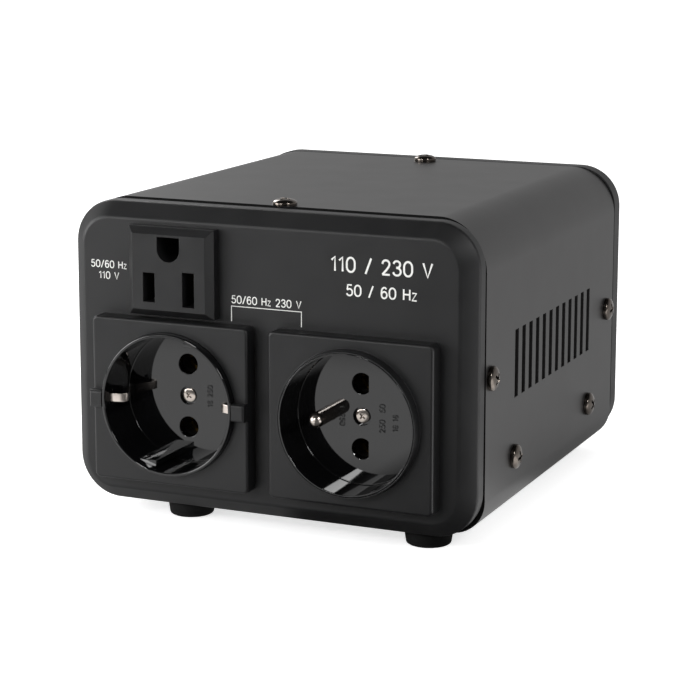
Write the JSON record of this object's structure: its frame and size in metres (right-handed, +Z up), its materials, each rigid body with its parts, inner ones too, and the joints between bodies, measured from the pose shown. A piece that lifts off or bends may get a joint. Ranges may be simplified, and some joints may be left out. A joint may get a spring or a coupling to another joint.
{
  "type": "voltage converter",
  "caption": "Desk-top voltage converter: sheet-steel case between grey end bezels, with a German, a French and an American socket on the front.",
  "frame": {"origin": "bottom centre of the whole part, on the surface it stands on", "axes": "+X to the right seen from the sockets, +Y from the sockets to the rear, +Z up"},
  "size_m": [0.1314, 0.1592, 0.097],
  "materials": {
    "bezel_plastic": "fine moulded grain, dark grey",
    "cover_paint": "satin dark grey enamel",
    "tray_steel": "zinc-plated sheet",
    "screw_steel": "nickel-plated steel",
    "foot_rubber": "moulded black rubber",
    "socket_plastic": "polished black thermoset",
    "carrier_plastic": "moulded cream nylon",
    "contact_brass": "stamped brass",
    "earth_metal": "nickel-plated brass",
    "core_steel": "varnished laminations",
    "winding_copper": "enamelled copper wire",
    "wrap_film": "yellow polyester film",
    "fitting_plastic": "black nylon, semi-gloss",
    "rocker_plastic": "polished black nylon",
    "slider_plastic": "red nylon",
    "fuse_glass": "clear glass with plated ends",
    "lead_sleeve": "soft insulation"
  },
  "bodies": {
    "case": {"chassis_tray": "tray_steel", "core_bolts": "screw_steel", "core_e_stack": "core_steel", "core_i_stack": "core_steel", "core_nuts": "screw_steel", "cover": "cover_paint", "cover_screws": "screw_steel", "earth_leads": "lead_sleeve", "foot_angle_front": "tray_steel", "foot_angle_rear": "tray_steel", "foot_front_left": "foot_rubber", "foot_front_right": "foot_rubber", "foot_rear_left": "foot_rubber", "foot_rear_right": "foot_rubber", "foot_screws": "screw_steel", "french_centre_screw": "screw_steel", "french_contact_carrier": "carrier_plastic", "french_contact_lower": "contact_brass", "french_contact_upper": "contact_brass", "french_earth_pin": "earth_metal", "french_socket_cup": "socket_plastic", "french_socket_plate": "socket_plastic", "front_bezel": "bezel_plastic", "fuse_holder": "fitting_plastic", "fuse_nut": "screw_steel", "fuse_tags": "contact_brass", "german_centre_screw": "screw_steel", "german_contact_carrier": "carrier_plastic", "german_contact_lower": "contact_brass", "german_contact_upper": "contact_brass", "german_earth_clips": "earth_metal", "german_socket_cup": "socket_plastic", "german_socket_plate": "socket_plastic", "inlet_blades": "contact_brass", "inlet_body": "fitting_plastic", "inlet_nuts": "screw_steel", "inlet_screws": "screw_steel", "mains_leads": "lead_sleeve", "output_leads": "lead_sleeve", "primary_leads": "lead_sleeve", "rear_bezel": "bezel_plastic", "selector_housing": "fitting_plastic", "selector_tags": "contact_brass", "switch_housing": "fitting_plastic", "switch_tags": "contact_brass", "thermal_cutout": "tray_steel", "transformer_bobbin": "carrier_plastic", "transformer_winding": "winding_copper", "tray_bolts": "screw_steel", "tray_nuts": "screw_steel", "us_contact_earth": "contact_brass", "us_contact_live": "contact_brass", "us_contact_neutral": "contact_brass", "us_outlet_body": "socket_plastic", "winding_tags": "contact_brass", "winding_wrap": "wrap_film"},
    "rocker": {"switch_rocker": "rocker_plastic"},
    "slider": {"selector_slider": "slider_plastic"},
    "fuse": {"fuse_link": "fuse_glass"},
    "cap": {"fuse_cap": "fitting_plastic"}
  },
  "joints": [
    {"name": "rocker_pivot", "type": "hinge", "parent": "case", "child": "rocker", "pos_m": [-0.038, 0.06952, 0.0628], "axis": [0, 0, 1], "range_deg": [-16, 0]},
    {"name": "selector_slide", "type": "slide", "parent": "case", "child": "slider", "axis": [1, 0, 0], "range_m": [0, 0.005]},
    {"name": "fuse_slide", "type": "slide", "parent": "case", "child": "fuse", "axis": [0, 1, 0], "range_m": [0, 0.028]},
    {"name": "fuse_cap_turn", "type": "hinge", "parent": "fuse", "child": "cap", "pos_m": [0.038, 0.0716, 0.0628], "axis": [0, 1, 0], "range_deg": [0, 90]}
  ]
}
